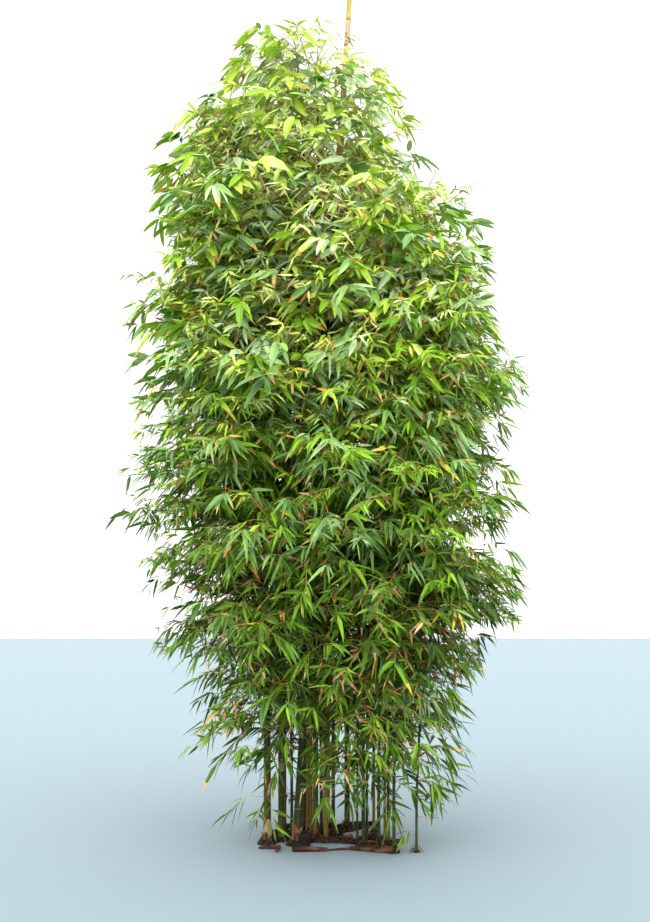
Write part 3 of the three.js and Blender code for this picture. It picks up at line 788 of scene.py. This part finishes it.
def grow_boughs(growth, culm, index):
    """Clusters of boughs at a culm's nodes: they hang low down, reach out half way up and rise at its tip."""
    rng = np.random.default_rng(4200 + index)
    in_front = culm.name in FRONT_CULMS
    for k, z in enumerate(culm.nodes()):
        if z < culm.first_branch or (culm.name == "main" and z > MAIN_BARE_ABOVE):
            continue
        rise = (z - culm.first_branch) / (culm.height - culm.first_branch)
        start = culm.axis(z)
        from_axis = start[:2] - CROWN_AXIS
        outward = math.atan2(from_axis[1], from_axis[0])
        # The boughs of a culm near the crown's axis go all round it, and those further out go outwards.
        spread = math.pi * max(0.42, 1.0 - math.hypot(*from_axis) / 0.6)
        count = (4 if culm.radius > THICK_CULM else 3) + 2 * int(rise > TWO_MORE_ABOVE)
        for b in range(count + int(in_front and FRONT_HEIGHTS[0] < z < FRONT_HEIGHTS[1])):
            turn = (GOLDEN_TURN * (4 * k + b) + 0.37 * index) % 1.0
            heading = outward + spread * (2 * turn - 1)
            if b == count:
                heading = math.radians(-90 + rng.uniform(-FRONT_SPREAD, FRONT_SPREAD))
            if z < SPARSE_BELOW and rng.random() < SPARSE_SHARE:
                continue
            slope = rng.uniform(-0.70 + 1.15 * rise, 0.12 + 0.95 * rise)
            room = room_along(start, heading, 0.5 * slope)
            longest = 1.02 if rng.random() < 0.20 else 0.80
            run = min(LONGEST_BOUGH, room * rng.uniform(0.35 if b else 0.62, longest))
            if run < SHORTEST_BOUGH:
                continue
            bough = limb_path(start, heading, run, run * slope * 0.7, LIMB_ARCH * run, 6)
            if bough[:, 2].min() < LOWEST_BOUGH:
                continue
            growth.boughs.append(bough)
            grow_twigs(growth, bough, heading, rng, 0.30, culm.name in BROAD_LEAVED)


def grow_low_sprays(growth):
    rng = np.random.default_rng(91)
    for name, z, degrees, run, fall, count in LOW_SPRAYS:
        heading = math.radians(degrees)
        twig = limb_path(culm_named[name].axis(z), heading, run, -fall, 0.25 * run, 2)
        growth.twigs.append(twig)
        growth.twig_kinds.append(0)
        grow_big_spray(growth, twig, heading, rng, count, 0.02)


def grow_top_boughs(growth):
    rng = np.random.default_rng(23)
    for name, z, degrees, run, lift in TOP_BOUGHS:
        culm = culm_named[name]
        start = culm.axis(min(culm.nodes(), key=lambda node: abs(node - z)))
        heading = math.radians(degrees)
        bough = limb_path(start, heading, run, lift, LIMB_ARCH * run, 6)
        growth.boughs.append(bough)
        grow_twigs(growth, bough, heading, rng, 0.26, True)


growth = Growth()
for number, each in enumerate(culms):
    grow_boughs(growth, each, number)
grow_low_sprays(growth)
grow_top_boughs(growth)


def leaf_frames(rows):
    """Each leaf's base, and the ways along it, across it and out of its face, which looks up and out."""
    base = rows[:, 0:3]
    heading, pitch, roll = rows[:, 3], rows[:, 4], rows[:, 8]
    level_run = np.cos(pitch)
    along = np.stack([np.cos(heading) * level_run, np.sin(heading) * level_run, np.sin(pitch)], axis=-1)
    out = np.zeros_like(base)
    out[:, :2] = unit(base[:, :2] - CROWN_AXIS)
    facing = unit(0.75 * out + np.array([0.0, 0.0, 0.65]))
    level = unit(np.cross(facing, along) + 1e-4)
    over = np.cross(along, level)
    across = level * np.cos(roll)[:, None] + over * np.sin(roll)[:, None]
    return base, along, across, np.cross(along, across)


def middle_line(rows, base, along, t):
    length, droop = rows[:, 5], rows[:, 7]
    point = base + along * (length * t * (1 - 0.25 * droop * t))[:, None]
    point[:, 2] -= droop * length * t**2
    return point


def folded_leaf_mesh(rows, stations, widths):
    """Points and faces of leaves folded along the middle, with a cross section at each station."""
    base, along, across, above = leaf_frames(rows)
    points = [base]
    for t, share in zip(stations, widths):
        half = (0.5 * rows[:, 6] * share)[:, None]
        centre = middle_line(rows, base, along, t)
        raised = above * FOLD * half
        points += [centre + across * half + raised, centre, centre - across * half + raised]
    points.append(middle_line(rows, base, along, 1.0))
    last = 3 * len(stations) + 1
    first = (np.arange(len(rows)) * (last + 1))[:, None]
    blades = []
    for k in range(1, last - 3, 3):
        blades += [(k, k + 3, k + 4, k + 1), (k + 1, k + 4, k + 5, k + 2)]
    ends = [(0, 1, 2), (0, 2, 3), (last - 3, last, last - 2), (last - 2, last, last - 1)]
    quads = np.concatenate([first + np.array(blade) for blade in blades])
    threes = np.concatenate([first + np.array(end) for end in ends])
    # own and other alternate half by half, so other carries the painted light on one side of the fold
    own, other, tip = rows[:, 9], rows[:, 10], rows[:, 11]
    skins = np.concatenate([own, other] * (len(blades) // 2) + [own, other, tip, tip])
    return np.stack(points, axis=1).reshape(-1, 3), [quads, threes], skins


def small_leaf_mesh(rows, stations, widths):
    """Points and faces of small leaves: a flat lance-shaped blade in three stretches."""
    base, along, across, _ = leaf_frames(rows)
    points = [base]
    for t, share in zip(stations, widths):
        half = (0.5 * rows[:, 6] * share)[:, None]
        centre = middle_line(rows, base, along, t)
        points += [centre + across * half, centre - across * half]
    points.append(middle_line(rows, base, along, 1.0))
    first = (np.arange(len(rows)) * 6)[:, None]
    quads = first + np.array((1, 3, 4, 2))
    threes = np.concatenate([first + np.array(q) for q in ((0, 1, 2), (3, 5, 4))])
    skins = np.concatenate([rows[:, 9]] * 2 + [rows[:, 11]])
    return np.stack(points, axis=1).reshape(-1, 3), [quads, threes], skins


def kept_leaves(leaves):
    """The leaves whose tips stay inside the crown's reach and above the ground, in order of height."""
    rows = np.array(leaves)
    base, along, _, _ = leaf_frames(rows)
    tips = middle_line(rows, base, along, 1.0)
    inside = (reach_share(tips) < LEAF_REACH) & (tips[:, 2] > LOWEST_LEAF)
    boxed = np.all((tips > cad_low - BOX_MARGIN) & (tips < cad_high + BOX_MARGIN), axis=1)
    rows = rows[inside & boxed]
    return rows[np.argsort(rows[:, 2], kind="stable")]


def foliage_nodes():
    return [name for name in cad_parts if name.startswith("foliage")]


def build_leaves(kind, make):
    """One kind of leaf in joined pieces, from the lowest to the highest."""
    triangles, stations, widths = LEAF_SHAPES[kind]
    rows = kept_leaves(growth.leaves[kind])
    pieces = []
    for i, part in enumerate(np.array_split(rows, math.ceil(len(rows) * triangles / MOST_TRIANGLES))):
        points, faces, skins = make(part, stations, widths)
        piece = mesh_object(f"{kind}_{i + 1}", points, faces, leaf_skins, skins)
        dress(piece, "foliage")
        pieces.append(piece)
    return pieces


def limb_mesh(paths, radii, sides):
    """Points and faces of limbs that all taper alike."""
    paths = np.array(paths)
    return tubes(paths, np.tile(np.linspace(*radii, paths.shape[1]), (len(paths), 1)), sides)


def build_foliage():
    pieces = build_leaves("leaves", folded_leaf_mesh)
    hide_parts(*foliage_nodes())
    build_leaves("broad_leaves", folded_leaf_mesh)
    build_leaves("small_leaves", small_leaf_mesh)
    points, quads = limb_mesh(growth.boughs, BRANCH_RADIUS, 4)
    dress(mesh_object("boughs", points, [quads], [branch_skin], smooth=True), "foliage")
    points, quads = limb_mesh(growth.twigs, TWIG_RADIUS, 3)
    kinds = np.repeat(growth.twig_kinds, len(quads) // len(growth.twigs))
    dress(mesh_object("twigs", points, [quads], twig_skins, kinds), "foliage")


build_foliage()


# Sheaths

# Culm, lowest and highest point, the way it faces and its wrap in degrees, and how far its tip stands off
DRY_SHEATHS = [
    ("left_1", 0.020, 0.165, -72, 210, 0.012),
    ("left_1", 0.318, 0.430, -28, 130, 0.016),
    ("left_2", 0.455, 0.550, -80, 120, 0.014),
    ("middle_6", 0.420, 0.520, -100, 120, 0.012),
    ("right_1", 0.330, 0.410, -80, 150, 0.010),
    ("right_2", 0.400, 0.490, -100, 140, 0.010),
    ("right_6", 0.210, 0.310, -90, 150, 0.009),
    ("back_2", 0.330, 0.450, 90, 150, 0.012),
    ("back_4", 0.250, 0.370, 60, 150, 0.012),
]
BROWN_SHEATHS = [
    ("main", 0.000, 0.150, -130, 230, 0.014),
    ("main", 0.010, 0.120, -45, 170, 0.012),
    ("middle_2", 0.000, 0.095, -90, 150, 0.010),
    ("back_1", 0.000, 0.110, 120, 160, 0.012),
    ("back_3", 0.000, 0.120, 80, 160, 0.012),
]
SHOOT_FROM = 4.95  # height of the lowest sheath that the young shoot still wears
SHEATH_ROWS = 9
SHEATH_COLUMNS = 17
SHEATH_SKIN = 0.0008  # a sheath's own thickness
SHEATH_THICK = 0.0012  # and how far its outer face stands off its culm at least
SHOOT_SHEATH_THICK = 0.0024  # there its layers lie over each other
PINK_BELOW = 5.80


def sheath_grid(culm, low, high, facing, wrap, lift, taper, thick):
    """Outer and inner points of a sheath, row by row from the bottom, with one edge lapped over the other."""
    s = np.linspace(0, 1, SHEATH_ROWS)[:, None]
    t = np.linspace(-1, 1, SHEATH_COLUMNS)[None, :]
    z = low + (high - low) * (s + 0 * t)
    angle = math.radians(facing) + 0.5 * math.radians(wrap) * t * (1 - 0.94 * s**taper)
    radius = culm.width(z) * 1.03 + thick + 0.0007 * (t + 1) + lift * s**2.5
    ways = np.stack([np.cos(angle), np.sin(angle), 0 * angle], axis=-1)
    middle = culm.axis(z)
    return middle + ways * radius[..., None], middle + ways * (radius - SHEATH_SKIN)[..., None]


def build_sheaths(name, rows, skin, taper, thick):
    points = []
    quads = []
    for culm_name, *row in rows:
        outer, inner = sheath_grid(culm_named[culm_name], *row, taper, thick)
        high, wide = outer.shape[:2]
        first = sum(len(part) for part in points)
        index = first + np.arange(high * wide).reshape(high, wide)
        below = index + high * wide
        points += [outer.reshape(-1, 3), inner.reshape(-1, 3)]
        for grid, turned in ((index, False), (below, True)):
            q = np.stack([grid[:-1, :-1], grid[:-1, 1:], grid[1:, 1:], grid[1:, :-1]], axis=-1).reshape(-1, 4)
            quads.append(q[:, ::-1] if turned else q)
        for edge, other in (
            (index[0, ::-1], below[0, ::-1]),
            (index[-1], below[-1]),
            (index[:, 0], below[:, 0]),
            (index[::-1, -1], below[::-1, -1]),
        ):
            quads.append(np.stack([edge[:-1], edge[1:], other[1:], other[:-1]], axis=-1))
    return mesh_object(name, np.concatenate(points), [np.concatenate(quads)], [skin], smooth=True)


def shoot_sheaths():
    """The young shoot still wears a sheath on each internode, from one node to a little past the next."""
    nodes = [z for z in culm_named["main"].nodes() if z > SHOOT_FROM - 0.3]
    for i, (low, high) in enumerate(zip(nodes, nodes[1:])):
        yield "main", low + 0.002, low + 1.12 * (high - low), -75 + 137 * i, 390, 0.003


def basal_scales():
    """Short dry scales that stand round every foot, where the rhizome turns up into the culm."""
    rng = np.random.default_rng(611)
    for culm in culms:
        if from_middle(culm) > STANDS_APART:
            continue
        for i in range(3 + int(160 * culm.radius)):
            low = rng.uniform(0.0, 0.022)
            size = rng.uniform(0.025, 0.075) * (0.6 + 12 * culm.radius)
            facing = 137.5 * i + rng.uniform(-30, 30)
            wrap = rng.uniform(70, 150)
            yield culm.name, low, low + size, facing, wrap, rng.uniform(0.4, 1.0) * 0.022


def build_all_sheaths():
    shoot = list(shoot_sheaths())
    pink = [row for row in shoot if row[1] < PINK_BELOW]
    pale = [row for row in shoot if row[1] >= PINK_BELOW]
    for name, rows, skin, taper, thick, slot in (
        ("dry_sheaths", DRY_SHEATHS, sheath_skin, 1.6, SHEATH_THICK, "culm_olive"),
        ("brown_sheaths", BROWN_SHEATHS, brown_sheath_skin, 1.4, SHEATH_THICK, "rhizome"),
        ("basal_scales", list(basal_scales()), scale_skin, 1.5, SHEATH_THICK, "rhizome"),
        ("pink_shoot_sheaths", pink, young_sheath_skin, 6.0, SHOOT_SHEATH_THICK, "culm_grey"),
        ("pale_shoot_sheaths", pale, pale_sheath_skin, 6.0, SHOOT_SHEATH_THICK, "culm_grey"),
    ):
        dress(build_sheaths(name, rows, skin, taper, thick), slot)


build_all_sheaths()


# The root crown

# Old stumps of cut culms: foot across and depth, radius, height
STUMPS = [
    (0.056, -0.040, 0.032, 0.088),
    (0.036, 0.085, 0.017, 0.055),
    (-0.150, 0.150, 0.020, 0.060),
    (0.300, 0.190, 0.021, 0.050),
    (0.130, 0.400, 0.022, 0.062),
    (0.520, 0.060, 0.013, 0.045),
]
STUMP_SIDES = 20
# A stump's rings from its foot up and down into its hollow: their height and width as shares of its own
STUMP_RINGS = (
    (0, 1.3), (0.2, 1.18), (0.5, 1.04), (0.8, 0.96), (1, 0.80), (1, 0.60), (0.84, 0.50), (0.8, 0.02),
)
# Rhizomes that lie on the ground, thicker at one end: their points across and depth, and their radius
RUNNERS = [
    (((0.215, -0.185), (0.140, -0.190), (0.060, -0.200), (-0.022, -0.196)), 0.022),
    (((0.350, -0.150), (0.440, -0.175), (0.540, -0.205), (0.640, -0.245)), 0.024),
    (((0.190, -0.180), (0.250, -0.160), (0.310, -0.145), (0.375, -0.150)), 0.009),
    (((-0.245, -0.115), (-0.200, -0.125), (-0.150, -0.130), (-0.095, -0.120)), 0.013),
    (((-0.102, -0.095), (-0.108, -0.140), (-0.116, -0.185), (-0.120, -0.225)), 0.012),
    (((0.200, 0.060), (0.260, 0.085), (0.320, 0.105), (0.385, 0.120)), 0.023),
    (((0.470, 0.020), (0.560, 0.045), (0.640, 0.050), (0.730, 0.035)), 0.015),
    (((-0.110, 0.380), (-0.160, 0.440), (-0.100, 0.510), (0.010, 0.540)), 0.019),
    (((0.300, 0.560), (0.390, 0.610), (0.500, 0.600), (0.590, 0.550)), 0.018),
]
RUNNER_SIDES = 20
RUNNER_GROOVES = ((2, 0.10), (5, 0.07), (9, 0.05))  # how many round it, and how deep


def root_links():
    """Each culm's foot and the nearest foot that is closer to the clump's middle."""
    ordered = sorted(culms, key=from_middle)
    for i, culm in enumerate(ordered[1:], start=1):
        if from_middle(culm) < STANDS_APART:
            yield culm.foot, min(ordered[:i], key=lambda other: math.hypot(*(other.foot - culm.foot))).foot


def ripples(x, y, wavelength, rng):
    """A rolling surface about 1 high, from plane waves in every direction."""
    total = np.zeros_like(x)
    for _ in range(14):
        turn = rng.uniform(0, 2 * np.pi)
        wave = 2 * np.pi / (wavelength * rng.uniform(0.6, 1.6))
        total += np.cos(wave * (x * math.cos(turn) + y * math.sin(turn)) + rng.uniform(0, 2 * np.pi))
    return total / math.sqrt(14)


def root_heights(x, y):
    """Height of the woody bed: a swelling round each culm's foot, and ringed necks from foot to foot."""
    rng = np.random.default_rng(77)
    height = np.zeros_like(x)
    for culm in culms:
        apart = from_middle(culm) > STANDS_APART
        wide = 1.6 * culm.radius + (0.008 if apart else 0.022)
        top = ROOT_TOP * (0.62 + 0.38 * culm.radius / 0.028) * (0.45 if apart else 1.0)
        away = np.hypot(x - culm.foot[0], y - culm.foot[1]) / wide
        height = np.maximum(height, top * np.clip(1.0 - away, 0, 1) ** 0.45)
    for start, end in root_links():
        length = math.hypot(*(end - start))
        way = (end - start) / length
        share = np.clip((x - start[0]) * way[0] + (y - start[1]) * way[1], 0, length)
        away = np.hypot(x - start[0] - share * way[0], y - start[1] - share * way[1])
        ringed = 1 + 0.12 * np.cos(2 * np.pi * share / NECK_RINGS)
        rounded = np.sqrt(np.clip(1 - (away / NECK_RADIUS) ** 2, 0, 1))
        height = np.maximum(height, NECK_HEIGHT * ringed * rounded)
    height = height * (1 + 0.20 * ripples(x, y, 0.060, rng) + 0.10 * ripples(x, y, 0.022, rng))
    return np.where(height < 0.003, 0.0, height)


def build_root_bed():
    low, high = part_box("root_crown")
    sides = [np.arange(low[k] - BED_MARGIN, high[k] + BED_MARGIN, BED_CELL) for k in (0, 1)]
    x, y = np.meshgrid(*sides, indexing="ij")
    height = root_heights(x, y)
    height[[0, -1], :] = 0.0
    height[:, [0, -1]] = 0.0
    top = np.arange(x.size).reshape(x.shape)
    bottom = np.where(height > 0, top + x.size, top)
    points = np.stack([x, y, height], axis=-1).reshape(-1, 3)
    points = np.concatenate([points, points * [1.0, 1.0, 0.0]])
    raised = height > 0
    cells = raised[:-1, :-1] | raised[1:, :-1] | raised[1:, 1:] | raised[:-1, 1:]

    def cell_faces(grid):
        return np.stack([grid[:-1, :-1], grid[1:, :-1], grid[1:, 1:], grid[:-1, 1:]], axis=-1)[cells]

    faces = np.concatenate([cell_faces(top), cell_faces(bottom)[:, ::-1]])
    used, faces = np.unique(faces, return_inverse=True)
    piece = mesh_object("root_bed", points[used], [faces.reshape(-1, 4)], [rhizome_and_painted_shade_skin], smooth=True)
    dress(piece, "rhizome", "root_crown")


def build_roots():
    """Wiry roots that come out of each foot and run down into the ground."""
    rng = np.random.default_rng(505)
    paths = []
    s = np.linspace(0, 1, 6)
    for culm in culms:
        for _ in range(int(8 + 500 * culm.radius)):
            turn = rng.uniform(0, 2 * np.pi)
            out = culm.radius * 1.05 + rng.uniform(0.020, 0.055) * s**1.2
            drift = turn + rng.normal(0, 0.35) * s
            x = culm.foot[0] + out * np.cos(drift)
            y = culm.foot[1] + out * np.sin(drift)
            paths.append(np.stack([x, y, 0.001 + rng.uniform(0.020, 0.052) * (1 - s**1.7)], axis=-1))
    points, quads = limb_mesh(paths, (0.0022, 0.0010), 5)
    points[:, 2] = np.maximum(points[:, 2], 0.0)
    dress(mesh_object("roots", points, [quads], [root_skin], smooth=True), "rhizome")


def build_stumps():
    """Old cut culms: a ragged rim round a hollow, swollen at the foot."""
    rng = np.random.default_rng(31)
    points = []
    turns = np.linspace(0, 2 * np.pi, STUMP_SIDES, endpoint=False)
    for x, y, radius, height in STUMPS:
        ragged = 0.006 * np.cos(2 * turns + rng.uniform(0, 6)) + 0.003 * np.cos(7 * turns + rng.uniform(0, 6))
        for share, wide in STUMP_RINGS:
            z = share * height + (ragged if share == 1 else 0.0)
            r = radius * wide * (1 + 0.05 * np.cos(3 * turns + rng.uniform(0, 6)))
            points.append(np.stack([x + r * np.cos(turns), y + r * np.sin(turns), z + 0 * turns], axis=-1))
    quads = ring_quads(len(STUMPS), len(STUMP_RINGS), STUMP_SIDES)
    piece = mesh_object("old_stumps", np.concatenate(points), [quads], [stump_skin], smooth=True)
    dress(piece, "rhizome")


def build_runners():
    """Rhizomes that lie half out of the ground: grooved, ringed by their scars and broken off blunt."""
    rng = np.random.default_rng(47)
    paths = []
    radii = []
    share = np.linspace(0, 1, 60)
    u = share[:, None]
    turns = np.linspace(0, 2 * np.pi, RUNNER_SIDES, endpoint=False)
    blunt = np.sqrt(np.clip(1 - (2 * share - 1) ** 26, 0.0004, 1))
    scars = 1 + 0.07 * np.sign(np.sin(48 * share)) * np.sin(48 * share) ** 2
    for corners, radius in RUNNERS:
        a, b, c, d = (np.array(corner) for corner in corners)
        flat = a * (1 - u) ** 3 + 3 * b * u * (1 - u) ** 2 + 3 * c * u**2 * (1 - u) + d * u**3
        rings = radius * (0.55 + 0.45 * share) * scars * blunt
        grooves = 1 + 0.0 * turns + 0.0 * u
        for waves, depth in RUNNER_GROOVES:
            grooves = grooves + depth * np.cos(waves * turns + rng.uniform(2, 7) * u + rng.uniform(0, 6))
        paths.append(np.concatenate([flat, (0.86 * radius * (0.55 + 0.45 * share))[:, None]], axis=1))
        radii.append(rings[:, None] * grooves)
    points, quads = tubes(np.array(paths), np.array(radii), RUNNER_SIDES)
    points[:, 2] = np.maximum(points[:, 2], 0.0)
    dress(mesh_object("runners", points, [quads], [runner_skin], smooth=True), "rhizome")


build_root_bed()
build_roots()
build_stumps()
build_runners()


# Floor, light and camera

FLOOR_HALF = 40.0
EYE = (0.194, -7.0, 1.6)
EYE_PITCH = 8.1  # degrees upwards


def add_stage():
    floor_skin = principled("floor", (0.172, 0.228, 0.250), 0.9)[0]
    corners = FLOOR_HALF * np.array([[-1, -1, 0], [1, -1, 0], [1, 1, 0], [-1, 1, 0]]) - [0, 0, 0.001]
    mesh_object("floor", corners, [np.array([[0, 1, 2, 3]])], [floor_skin])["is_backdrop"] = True
    world = bpy.data.worlds.new("soft_sky")
    bpy.context.scene.world = world
    world.use_nodes = True
    sky = world.node_tree.nodes["Background"]
    sky.inputs["Color"].default_value = (0.95, 0.96, 0.98, 1.0)
    sky.inputs["Strength"].default_value = 1.45


def add_sun(name, strength, angle, azimuth, elevation):
    """A broad soft light, as wide as angle, from the direction of azimuth and elevation, all in degrees."""
    data = bpy.data.lights.new(name, "SUN")
    data.energy = strength
    data.angle = math.radians(angle)
    lamp = bpy.data.objects.new(name, data)
    turn, rise = math.radians(azimuth), math.radians(elevation)
    direction = Vector((math.cos(turn) * math.cos(rise), math.sin(turn) * math.cos(rise), math.sin(rise)))
    lamp.rotation_euler = direction.to_track_quat("Z", "Y").to_euler()
    bpy.context.collection.objects.link(lamp)


def add_camera():
    data = bpy.data.cameras.new("camera")
    data.lens = 39.05
    data.sensor_width = 36.0
    data.clip_end = 200.0
    camera = bpy.data.objects.new("camera", data)
    camera.location = EYE
    camera.rotation_euler = (math.radians(90 + EYE_PITCH), 0.0, 0.0)
    bpy.context.collection.objects.link(camera)
    bpy.context.scene.camera = camera


add_stage()
add_sun("high_soft_light", 1.9, 80, -104, 50)
add_sun("top_fill", 2.1, 130, 0, 90)
add_sun("front_fill", 2.4, 130, -82, 20)
add_sun("back_fill", 1.3, 130, 80, 26)
add_camera()
bpy.context.scene.view_settings.view_transform = "Standard"
